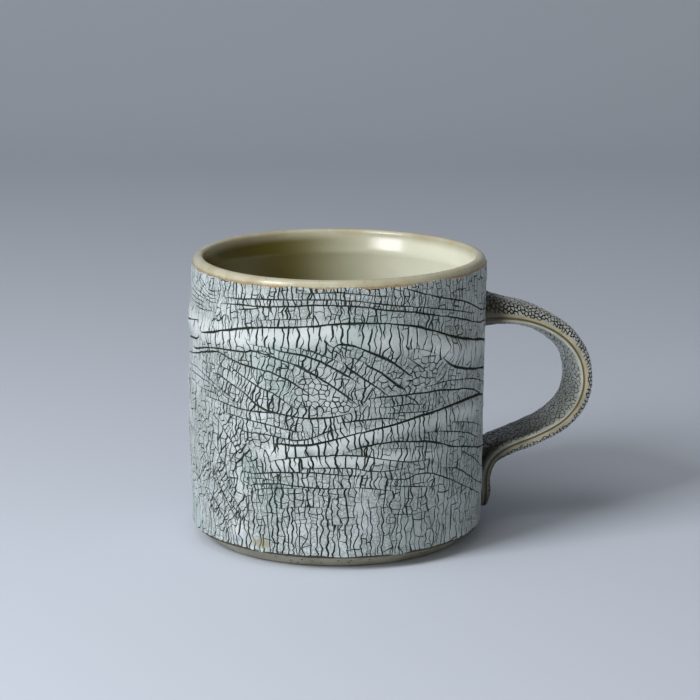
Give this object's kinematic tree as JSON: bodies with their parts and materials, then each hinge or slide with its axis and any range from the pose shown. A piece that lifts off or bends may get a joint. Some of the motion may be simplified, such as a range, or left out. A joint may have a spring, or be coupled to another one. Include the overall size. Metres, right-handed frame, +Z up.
{
  "type": "mug",
  "caption": "Straight-sided stoneware mug with a flat strap handle, a bevelled bare foot and a crackled slip coat.",
  "frame": {"origin": "centre of the flat foot, where the cup's axis meets the table", "axes": "+Z up along the cup's axis, +X from the axis out through the middle of the handle"},
  "size_m": [0.1209, 0.086, 0.083],
  "materials": {
    "mug": "pale blue-grey slip crackled over dark clay, clear celadon glaze inside and on the lip, bare clay foot"
  },
  "bodies": {
    "root": {"mug": "mug"}
  },
  "joints": []
}
